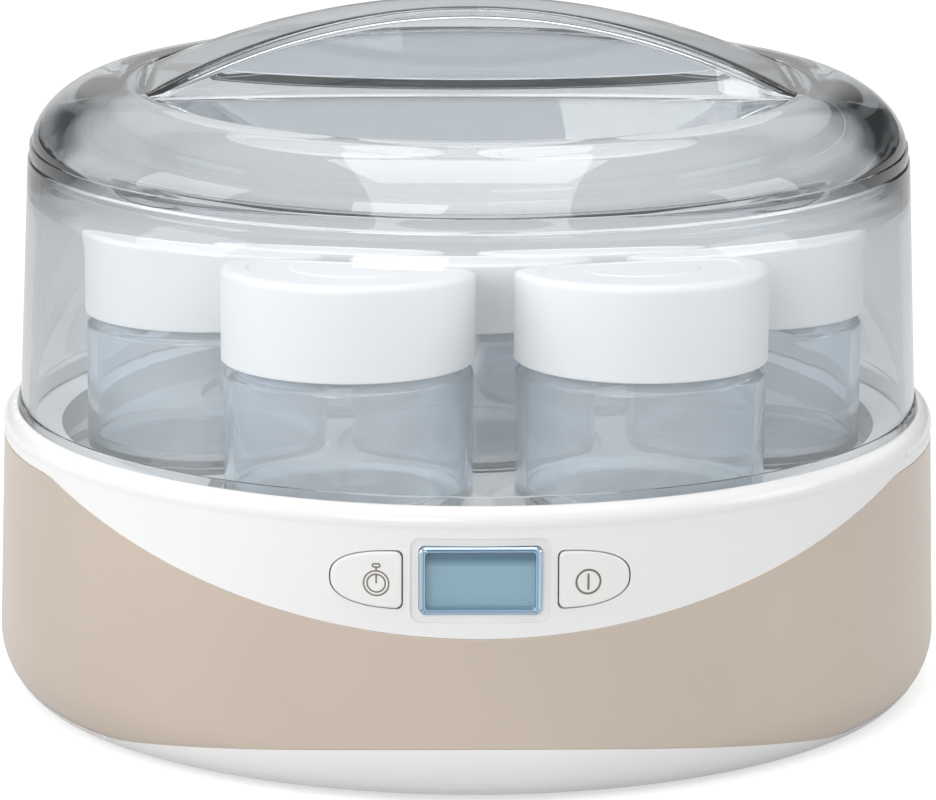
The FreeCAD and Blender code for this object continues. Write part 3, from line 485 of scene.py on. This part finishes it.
def dome_lid():
    """The clear dome as one closed solid: crown and shoulder outside, a thinner crown inside,
    and walls that meet in a flat foot."""
    def outer_floor(r):
        return dished(r, POCKET_HALF_Y, POCKET_EDGE_Z, POCKET_CENTRE_Z)

    def inner_floor(r):
        return dished(r, ROOF_R, ROOF_EDGE_Z, ROOF_CENTRE_Z)

    counts = (CROWN_ROWS, CROWN_FLAT_COLS, CROWN_OUT_COLS)
    low_end = RIDGE_Z - 0.1
    top = crown(POCKET_HALF_X, POCKET_HALF_Y, outer_floor, 0.0, low_end, 2.2, 0.8, GRIP_DRAFT, *counts)
    roof = crown(ROOF_R, ROOF_R, inner_floor, WALL, 0.0, 1.4, 0.8, GRIP_DRAFT, *counts)
    shoulder = pocket_rim(rim_of(top))
    step = [(RING_R + 0.5, RING_Z - 0.05), (RING_R + 0.55, RING_Z - 0.3)]
    step += [(RING_LOW_R - 0.5, RING_LOW_Z + 0.55), (RING_LOW_R - 0.05, RING_LOW_Z)]
    step += [(RING_LOW_R, RING_LOW_Z - 0.3)]
    wall_top = np.array(step[-1])
    wall_low = np.array([LIP_R - 0.55, LIP_TOP_Z + 0.1])
    wall = wall_top + (wall_low - wall_top) * np.linspace(0, 1, 14)[1:, None]
    lip = [(LIP_R - 0.08, LIP_TOP_Z), (LIP_R, LIP_TOP_Z - 0.3)]
    lip += [(LIP_R, LEDGE_Z + 0.25), (LIP_R - 0.25, LEDGE_Z)]
    outside = np.concatenate([step, wall, lip])
    inner_foot = np.array([LIP_R - WALL, LEDGE_Z])
    inner_wall = inner_foot + (np.array(INNER_TURN) - inner_foot) * np.linspace(0, 1, 14)[:, None]
    under = arc_points(INNER_TURN, INNER_MID, (ROOF_R, ROOF_EDGE_Z), 20)
    inside = np.concatenate([inner_wall, under[:-1]])[::-1]
    shell_out, shell_in = skirt(shoulder[-1], outside), skirt(rim_of(roof), inside)
    foot = np.stack([shell_out[-1], shell_in[-1]])
    parts = [(g * MM, grid_quads(*g.shape[:2], wrap=False)) for g in (top, roof)]
    parts += [(s * MM, grid_quads(*s.shape[:2])) for s in (shoulder, shell_out, shell_in)]
    parts.append((foot * MM, grid_quads(2, len(rim_of(top)))))
    obj = mesh_object("dome_clear_shell", parts, 2e-6)
    return dress(obj, DOME_CLEAR, "lid", ["dome_lid"], 30.0)


# ---------------------------------------------------------------- housing


def side_radius(z, inset=0.0):
    """Radius of the housing's outer face at a height: a tapered wall over a circle arc at the foot."""
    slope = (WIDE_R - SIDE_R) / (SIDE_Z - WIDE_Z)
    r = FOOT_ROUND - inset
    low = WIDE_R - FOOT_ROUND + np.sqrt(np.maximum(r * r - (WIDE_Z - z) ** 2, 0.0))
    return np.where(z < WIDE_Z, low, WIDE_R - inset - slope * (z - WIDE_Z))


def front_angle(degrees):
    """Unit x and y of a direction turned from the front, -Y, towards +X."""
    a = np.radians(degrees)
    return np.sin(a), -np.cos(a)


def side_band():
    """The champagne sleeve: over each angle it runs from a lower edge that rises at the front to
    an upper edge that dips there, both circles seen from the front, as a thin closed skin."""
    a = np.linspace(-180, 180, 721)[:-1]
    ux, uy = front_angle(a)
    x = WIDE_R * ux
    smile = SMILE_LOW_Z + SMILE_R - np.sqrt(SMILE_R ** 2 - np.minimum(np.abs(x), SMILE_R - 1) ** 2)
    chin = CHIN_HIGH_Z - CHIN_R + np.sqrt(CHIN_R ** 2 - x ** 2)
    front = uy < 0
    high = np.where(front, np.minimum(smile, BAND_HIGH_Z), BAND_HIGH_Z)
    low = np.where(front, np.maximum(chin, BAND_LOW_Z), BAND_LOW_Z)
    soft = BAND_SOFT_EDGE
    k = np.concatenate([[0.0], np.linspace(0, 1, 26), [1.0]])[:, None]
    lift = np.zeros_like(k)
    lift[0] = lift[-1] = 1.0
    z = low + (high - low) * k
    z = np.clip(z, low + soft * (1 - lift) * (k < 0.5), high - soft * (1 - lift) * (k > 0.5))
    out = side_radius(z) - soft * lift
    back = side_radius(z[::-1], BAND_DEPTH)
    r = np.concatenate([out, back, out[:1]])
    z = np.concatenate([z, z[::-1], z[:1]])
    grid = np.stack([r * ux, r * uy, z], -1) * MM
    obj = mesh_object("champagne_sleeve", [(grid, grid_quads(*grid.shape[:2]))])
    return dress(obj, CHAMPAGNE, "base", ["side_band"], 40.0)


def face_data(mesh):
    """Each corner's vertex, each face's count of corners, and each corner's face normal."""
    corner = np.empty(len(mesh.loops), int)
    mesh.loops.foreach_get("vertex_index", corner)
    count = np.empty(len(mesh.polygons), int)
    mesh.polygons.foreach_get("loop_total", count)
    flat = np.empty(len(mesh.polygons) * 3)
    mesh.polygons.foreach_get("normal", flat)
    return corner, count, np.repeat(flat.reshape(-1, 3), count, axis=0)


def wall_normals(mesh):
    """Exact normals on the housing's outer faces: square to the tapered wall, and from the foot
    round's centre below it. A face counts when all its corners lie on the wall or on one of its
    two sunk layers."""
    place = np.empty(len(mesh.vertices) * 3)
    mesh.vertices.foreach_get("co", place)
    x, y, z = place.reshape(-1, 3).T / MM
    r = np.hypot(x, y)
    near = np.zeros(len(r), bool)
    for inset in (0.0, 0.5, BAND_DEPTH):
        near |= np.abs(r - side_radius(z, inset)) < WALL_NEAR
    near &= (z > WALL_LOW_Z) & (z < SIDE_Z + 0.01)
    out = np.where(z < WIDE_Z, r - WIDE_R + FOOT_ROUND, SIDE_Z - WIDE_Z)
    up = np.where(z < WIDE_Z, z - WIDE_Z, WIDE_R - SIDE_R)
    size = np.hypot(out, up) * np.maximum(r, 1e-6)
    exact = np.stack([x * out / size, y * out / size, up / np.hypot(out, up)], 1)
    corner, count, own = face_data(mesh)
    start = np.concatenate([[0], np.cumsum(count)[:-1]])
    facing = (own * exact[corner]).sum(1) > 0.95
    whole = np.logical_and.reduceat(near[corner] & facing, start)
    chosen = np.where(np.repeat(whole, count)[:, None], exact[corner], 0.0)
    mesh.normals_split_custom_set(chosen.tolist())


def area_normals(mesh, degrees):
    """Corner normals weighted by area: a corner takes the mean of its vertex's faces that turn
    from its own face by less than the angle, so that flat floors stay flat beside their fillets."""
    corner, count, own = face_data(mesh)
    area = np.empty(len(mesh.polygons))
    mesh.polygons.foreach_get("area", area)
    order = np.argsort(corner, kind="stable")
    vertex = corner[order]
    normal = own[order]
    weighted = normal * np.repeat(area, count)[order][:, None]
    total = weighted.copy()
    step = 1
    while (vertex[step:] == vertex[:-step]).any():
        near = vertex[step:] == vertex[:-step]
        near &= (normal[step:] * normal[:-step]).sum(1) > np.cos(np.radians(degrees))
        total[:-step][near] += weighted[step:][near]
        total[step:][near] += weighted[:-step][near]
        step += 1
    length = np.linalg.norm(total, axis=1, keepdims=True)
    total = np.where(length > 0, total / np.maximum(length, 1e-30), normal)
    mean = np.empty_like(total)
    mean[order] = total
    mesh.normals_split_custom_set(mean.tolist())


def base_shell():
    """The white housing, from its own solid, smoothed, with exact normals on its wall."""
    obj = welded_copy("base_shell", "white_housing")
    dress(obj, WHITE, "base", ["base_shell"], 24.0)
    wall_normals(obj.data)


def heating_tray():
    """The grey floor with its recesses, from its own solid, smoothed with area-weighted normals."""
    obj = welded_copy("heating_tray", "grey_tray")
    dress(obj, TRAY_GREY, "base", ["heating_tray"], 24.0)
    area_normals(obj.data, 24.0)


# ---------------------------------------------------------------- jars


def jar_centre(number):
    """Where a jar stands, in millimetres, from its node's box."""
    low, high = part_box("jar_%d" % number)
    return (low[0] + high[0]) / 2 / MM, (low[1] + high[1]) / 2 / MM


def jar(number):
    """A squat glass jar, turned from a profile with rounded foot, shoulder, thread and lip."""
    corners = [(0, 60.5), (28.4, 60.5), (31.5, 63.6), (31.5, 96.5), (29.0, 99.4)]
    corners += [(29.0, 108.0), (29.8, 109.4), (29.8, 111.0), (29.0, 112.4), (29.0, 122.2)]
    corners += [(26.6, 122.2), (26.6, 100.4), (29.1, 96.6), (29.1, 67.2), (26.2, 64.5), (0, 64.9)]
    radii = [0, 1.6, 2.4, 1.6, 1.2, 0.6, 0.4, 0.4, 0.6, 1.1, 1.1, 1.6, 2.0, 2.6, 2.6, 0]
    profile = rounded(corners, radii, 7)
    points, quads = turned(profile, 96, jar_centre(number), closed=False)
    obj = mesh_object("glass_jar_%d" % number, [(points, quads)])
    return dress(obj, JAR_GLASS, "jar_%d" % number, ["jar_%d" % number], 50.0)


def jar_cap(number):
    """A white screw cap, turned from a profile with a soft top edge and faint rings on top."""
    corners = [(31.9, 99.7), (31.9, 124.2), (25.6, 124.2), (24.9, 123.7), (14.6, 123.7)]
    corners += [(13.9, 124.0), (0, 124.0), (0, 122.2), (30.3, 122.2), (30.3, 99.7)]
    radii = [0.5, 2.2, 0.4, 0.4, 0.4, 0.4, 0, 0, 0.6, 0.5]
    profile = rounded(corners, radii, 7)
    points, quads = turned(profile, 96, jar_centre(number))
    obj = mesh_object("white_cap_%d" % number, [(points, quads)])
    return dress(obj, CAP_WHITE, "cap_%d" % number, ["jar_cap_%d" % number], 50.0)


# ---------------------------------------------------------------- front panel


def face_y(x, z, proud=0.0):
    """Depth of the housing's front face at x and z, stood out by proud."""
    return -np.sqrt((side_radius(z) + proud) ** 2 - x ** 2)


def leaf_outline(margin=0.0):
    """The button's outline as (x, z) from the panel's centre: a straight edge with rounded
    corners next to the display, and half of a superellipse: x from cos(t)^(2/n), z from
    sin(t)^(2/n)."""
    half = BUTTON_HALF + margin
    inner = BUTTON_IN - margin
    t = np.linspace(-1, 1, 45) * math.pi / 2
    x = inner + (BUTTON_TIP + margin - inner) * np.cos(t).clip(0) ** (2 / BUTTON_FULLNESS)
    z = half * np.sign(t) * np.abs(np.sin(t)) ** (2 / BUTTON_FULLNESS)
    bow = np.stack([x, z], 1)
    start, end = bow[2], bow[-3]
    corners = [start, *bow[3:-3], end, (inner, half), (inner, -half)]
    radii = [0.0] * (len(corners) - 2) + [BUTTON_CORNER] * 2
    return rounded(corners, radii, 8)


def button(side, body, name):
    """A leaf-shaped button: its face follows the housing, its edge is rounded over, its sides run
    straight back, and a flange and plunger stand behind."""
    outline = leaf_outline() * (side, 1)
    middle = np.array([side * SWITCH_X, 0.0])
    shrink = np.array([0.0, 0.3, 0.6, 0.85, 0.94, 0.975, 0.992, 1.0])
    proud = np.array([1.0, 1.0, 1.0, 1.0, 1.0, 0.92, 0.7, 0.3]) * BUTTON_PROUD
    plan = middle + (outline - middle) * shrink[:, None, None]
    face = face_y(plan[..., 0], plan[..., 1] + PANEL_Z, proud[:, None])
    rings = [np.stack([plan[..., 0], face, plan[..., 1] + PANEL_Z], -1)]
    flange = leaf_outline(FLANGE_MARGIN) * (side, 1)
    back = middle + flange * 0
    steps = [(outline, FLANGE_FRONT), (flange, FLANGE_FRONT), (flange, FLANGE_BACK), (back, FLANGE_BACK)]
    for loop, depth in steps:
        y = face_y(loop[:, 0], loop[:, 1] + PANEL_Z, depth)
        rings.append(np.stack([loop[:, 0], y, loop[:, 1] + PANEL_Z], -1)[None])
    grid = np.concatenate(rings)
    parts = [(grid * MM, grid_quads(*grid.shape[:2]))]
    a = np.linspace(0, 2 * math.pi, 24, endpoint=False)
    rod_r = np.array([0, PLUNGER_R, PLUNGER_R, 0])[:, None]
    rod_y = np.repeat([PLUNGER_FRONT_Y, PLUNGER_BACK_Y], 2)[:, None]
    rod_x = side * SWITCH_X + rod_r * np.cos(a)
    rod = np.stack([rod_x, rod_y + 0 * a, PANEL_Z + rod_r * np.sin(a)], -1)
    parts.append((rod * MM, grid_quads(4, 24)))
    obj = mesh_object(name, parts)
    return dress(obj, BUTTON_WHITE, body, [body], 40.0)


def print_on(name, paths, side, body, width=0.36):
    """Thin printed lines on a button face: each path of (x, z) points from the button's middle
    becomes a raised ribbon, its edges set off square to the path."""
    parts = []
    for path, closed in paths:
        p = np.array(path, float)
        ahead = np.roll(p, -1, 0) - p if closed else np.gradient(p, axis=0)
        behind = p - np.roll(p, 1, 0) if closed else ahead
        run = ahead + behind
        run /= np.linalg.norm(run, axis=1)[:, None]
        off = np.stack([-run[:, 1], run[:, 0]], 1) * width / 2
        lines = []
        low, high = PRINT_SUNK, PRINT_PROUD
        for edge, lift in ((1, low), (1, high), (-1, high), (-1, low), (1, low)):
            q = p + off * edge
            x = side * SWITCH_X + q[:, 0]
            z = PANEL_Z + q[:, 1]
            lines.append(np.stack([x, face_y(x, z, BUTTON_PROUD + lift), z], -1))
        grid = np.stack(lines)
        if closed:
            grid = np.concatenate([grid, grid[:, :1]], 1)
        parts.append((grid * MM, grid_quads(*grid.shape[:2], wrap=False)))
        if not closed:
            for end in (0, -1):
                parts.append((grid[:4, end] * MM, np.array([[0, 1, 2, 3]])))
    obj = mesh_object(name, parts)
    return dress(obj, SYMBOL, body, (), 60.0)


def ring_path(radius, count=48):
    """Points of a circle."""
    a = np.linspace(0, 2 * math.pi, count, endpoint=False)
    return np.stack([radius * np.cos(a), radius * np.sin(a)], 1)


def symbols():
    """A stopwatch on the timer button and an on/off mark on the power button."""
    shift = np.array([0.75, -0.9])
    watch = [(ring_path(3.05) + shift, True), (ring_path(2.2) + shift, True)]
    watch.append((shift + np.array([(0, 0), (0, 2.1)]), False))
    watch.append((shift + np.array([(0, 3.2), (0, 3.95)]), False))
    watch.append((shift + (0, 4.4) + rect_loop(0.9, 0.4, 0.35), True))
    print_on("stopwatch_mark", watch, -1, "timer_button")
    shift = np.array([0.25, -0.7])
    power = [(ring_path(2.95) + shift, True), (shift + np.array([(0, -2.0), (0, 2.0)]), False)]
    print_on("power_mark", power, 1, "power_button", 0.5)


def rect_loop(half_x, half_z, corner, steps=6):
    """A rounded rectangle as (x, z) points."""
    corners = [(-half_x, -half_z), (half_x, -half_z), (half_x, half_z), (-half_x, half_z)]
    return rounded(corners, [corner] * 4, steps)


def lcd_frame():
    """The display's frame: rounded rectangles joined from its back edge, over its front lip, down
    a slope, over a narrow ridge and in to the window."""
    loops = []
    plan = [(14.9, 8.4, 1.6, -120.4), (14.9, 8.4, 1.6, -123.6), (14.65, 8.15, 1.4, -123.9)]
    plan += [(13.85, 7.5, 1.1, -123.3), (13.7, 7.4, 1.0, -123.55), (13.5, 7.25, 0.9, -123.55)]
    plan += [(13.3, 7.1, 0.8, -122.7), (13.3, 7.1, 0.8, -120.4), (14.9, 8.4, 1.6, -120.4)]
    for half_x, half_z, corner, y in plan:
        loop = rect_loop(half_x, half_z, corner)
        loops.append(np.stack([loop[:, 0], np.full(len(loop), y), loop[:, 1] + PANEL_Z], -1))
    grid = np.stack(loops)
    obj = mesh_object("display_frame", [(grid * MM, grid_quads(*grid.shape[:2]))])
    return dress(obj, BEZEL, "base", ["lcd_bezel"], 25.0)


# ---------------------------------------------------------------- the other nodes


def dress_nodes():
    """Materials for the nodes that show their own solids."""
    finishes = {
        "lcd_window": WINDOW, "lcd_panel": LCD, "lcd_backlight": BACKLIGHT, "display_board": BOARD,
        "display_chip": BLACK, "display_screws": SCREW, "tact_switches": BLACK, "buzzer": BLACK,
        "heat_spreader": ALUMINIUM, "mica_heater": MICA, "heater_clamp_plate": ZINC, "heater_screws": SCREW,
        "temperature_sensor": ZINC, "sensor_clip": ZINC, "thermal_fuse": FUSE_BODY, "fuse_clip": ZINC,
        "bottom_cover": WHITE, "cover_screws": SCREW, "feet": RUBBER, "power_board": BOARD,
        "board_screws": SCREW, "transformer": BLACK, "relay": RELAY_BLUE, "filter_capacitor": FILM_YELLOW,
        "storage_capacitors": BLACK, "line_fuse": FUSE_BODY, "terminal_block": TERMINAL,
        "ribbon_cable": SLEEVING, "heater_leads": SLEEVING, "mains_leads": SLEEVING,
        "cord_gland": CAP_WHITE, "gland_nut": CAP_WHITE,
    }
    for name, material in finishes.items():
        node = NODES[name]
        node.data.materials.clear()
        node.data.materials.append(material)


# ---------------------------------------------------------------- studio


def studio_floor():
    """A wide pale floor under the feet."""
    size = 6.0
    mesh = bpy.data.meshes.new("studio_floor")
    corners = [(-size, -size, 0), (size, -size, 0), (size, size, 0), (-size, size, 0)]
    mesh.from_pydata(corners, [], [(0, 1, 2, 3)])
    obj = bpy.data.objects.new("studio_floor", mesh)
    bpy.context.scene.collection.objects.link(obj)
    material, tree, out = new_material("studio_floor")
    shader = tree.nodes.new("ShaderNodeBsdfPrincipled")
    shader.inputs["Base Color"].default_value = (0.6, 0.6, 0.6, 1)
    shader.inputs["Roughness"].default_value = 0.9
    path = tree.nodes.new("ShaderNodeLightPath")
    before = None
    for ray, strength in (("Is Glossy Ray", 0.22), ("Is Transmission Ray", 0.25), ("Is Camera Ray", 0.6)):
        mix = tree.nodes.new("ShaderNodeMixShader")
        glow = tree.nodes.new("ShaderNodeEmission")
        glow.inputs["Strength"].default_value = strength
        tree.links.new(path.outputs[ray], mix.inputs["Fac"])
        if before:
            tree.links.new(before, mix.inputs[1])
        tree.links.new(glow.outputs["Emission"], mix.inputs[2])
        before = mix.outputs["Shader"]
    add = tree.nodes.new("ShaderNodeAddShader")
    tree.links.new(shader.outputs["BSDF"], add.inputs[0])
    tree.links.new(before, add.inputs[1])
    tree.links.new(add.outputs["Shader"], out.inputs["Surface"])
    mesh.materials.append(material)


def studio_world():
    """Pale surroundings round the compass: grey in front, a bright wall on the left and a dimmer
    one on the right, dark gaps behind them and a white backdrop, all brighter overhead. The
    compass value runs from 0 at the back, over the left, 0.5 in front and the right, to 1."""
    world = bpy.data.worlds.new("studio")
    bpy.context.scene.world = world
    world.use_nodes = True
    tree = world.node_tree
    tree.nodes.clear()
    out = tree.nodes.new("ShaderNodeOutputWorld")
    seen = tree.nodes.new("ShaderNodeBackground")
    seen.inputs["Color"].default_value = (1, 1, 1, 1)
    around = tree.nodes.new("ShaderNodeBackground")
    around.inputs["Strength"].default_value = 2.0
    place = tree.nodes.new("ShaderNodeTexCoord")
    split = tree.nodes.new("ShaderNodeSeparateXYZ")
    tree.links.new(place.outputs["Generated"], split.inputs["Vector"])

    def maths(operation, first, second=0.0):
        node = tree.nodes.new("ShaderNodeMath")
        node.operation = operation
        for socket, value in zip(node.inputs, (first, second)):
            if isinstance(value, float):
                socket.default_value = value
            else:
                tree.links.new(value, socket)
        return node.outputs[0]

    def grey_ramp(source, stops):
        ramp = tree.nodes.new("ShaderNodeValToRGB")
        marks = ramp.color_ramp.elements
        while len(marks) < len(stops):
            marks.new(0.5)
        for mark, (place_at, level) in zip(marks, stops):
            mark.position = place_at
            mark.color = (level, level, level, 1)
        tree.links.new(source, ramp.inputs["Fac"])
        return ramp.outputs["Color"]

    back = maths("MULTIPLY", split.outputs["Y"], -1.0)
    half_turn = maths("DIVIDE", maths("ARCTAN2", split.outputs["X"], back), 2 * math.pi)
    compass = maths("ADD", half_turn, 0.5)
    levels = [(0.0, 0.35), (0.03, 0.35), (0.06, 0.03), (0.13, 0.03), (0.16, 0.75), (0.23, 0.75)]
    levels += [(0.27, 0.25), (0.4, 0.42), (0.5, 0.33), (0.67, 0.24), (0.75, 0.18), (0.84, 0.2)]
    levels += [(0.88, 0.01), (0.95, 0.01), (0.98, 0.35)]
    sides = grey_ramp(compass, levels)
    heights = [(0.0, 0.2), (0.4, 0.42), (0.6, 0.42), (0.64, 0.18), (0.72, 0.2), (0.78, 0.33)]
    over = grey_ramp(split.outputs["Z"], heights + [(1.0, 0.33)])
    high = grey_ramp(split.outputs["Z"], [(0.32, 0.0), (0.4, 1.0)])
    blend = tree.nodes.new("ShaderNodeMix")
    blend.data_type = "RGBA"
    tree.links.new(high, blend.inputs["Factor"])
    tree.links.new(sides, blend.inputs["A"])
    tree.links.new(over, blend.inputs["B"])
    tree.links.new(blend.outputs["Result"], around.inputs["Color"])
    path = tree.nodes.new("ShaderNodeLightPath")
    mix = tree.nodes.new("ShaderNodeMixShader")
    tree.links.new(path.outputs["Is Camera Ray"], mix.inputs["Fac"])
    tree.links.new(around.outputs["Background"], mix.inputs[1])
    tree.links.new(seen.outputs["Background"], mix.inputs[2])
    tree.links.new(mix.outputs["Shader"], out.inputs["Surface"])


def lamp(name, place, target, size, power):
    """A square soft lamp aimed at a target."""
    light = bpy.data.lights.new(name, "AREA")
    light.size = size
    light.energy = power
    obj = bpy.data.objects.new(name, light)
    obj.location = place
    obj.rotation_euler = (Vector(target) - Vector(place)).to_track_quat("-Z", "Y").to_euler()
    bpy.context.scene.collection.objects.link(obj)


def camera():
    """A long lens a little above the rim, turned slightly off the front."""
    data = bpy.data.cameras.new("camera")
    data.sensor_width = 36.0
    data.lens = CAMERA_LENS
    data.clip_end = 20.0
    obj = bpy.data.objects.new("camera", data)
    turn = Matrix.Rotation(CAMERA_YAW, 4, "Z")
    place = turn @ Vector(CAMERA_PLACE)
    tilt = Matrix.Rotation(math.pi / 2 - CAMERA_PITCH, 4, "X")
    aim = turn @ tilt @ Matrix.Rotation(CAMERA_ROLL, 4, "Z")
    obj.matrix_world = Matrix.Translation(place) @ aim
    bpy.context.scene.collection.objects.link(obj)
    bpy.context.scene.camera = obj


# ---------------------------------------------------------------- everything together

base_shell()
side_band()
heating_tray()
dome_lid()
for number in JARS:
    jar(number)
    jar_cap(number)
button(-1, "timer_button", "timer_button_face")
button(1, "power_button", "power_button_face")
symbols()
lcd_frame()
dress_nodes()

studio_floor()
studio_world()
lamp("top_box", (0.0, -0.1, 1.25), (0, 0, 0.1), 0.72, 5.4)
lamp("front_box", (-0.7, -2.0, 0.9), (0, 0, 0.1), 0.9, 12.0)
lamp("left_box", (-1.25, -0.25, 0.55), (0, 0, 0.1), 0.7, 4.5)
lamp("right_box", (1.35, -0.3, 0.55), (0, 0, 0.1), 0.6, 3.2)
camera()
bpy.context.scene.view_settings.view_transform = "Standard"
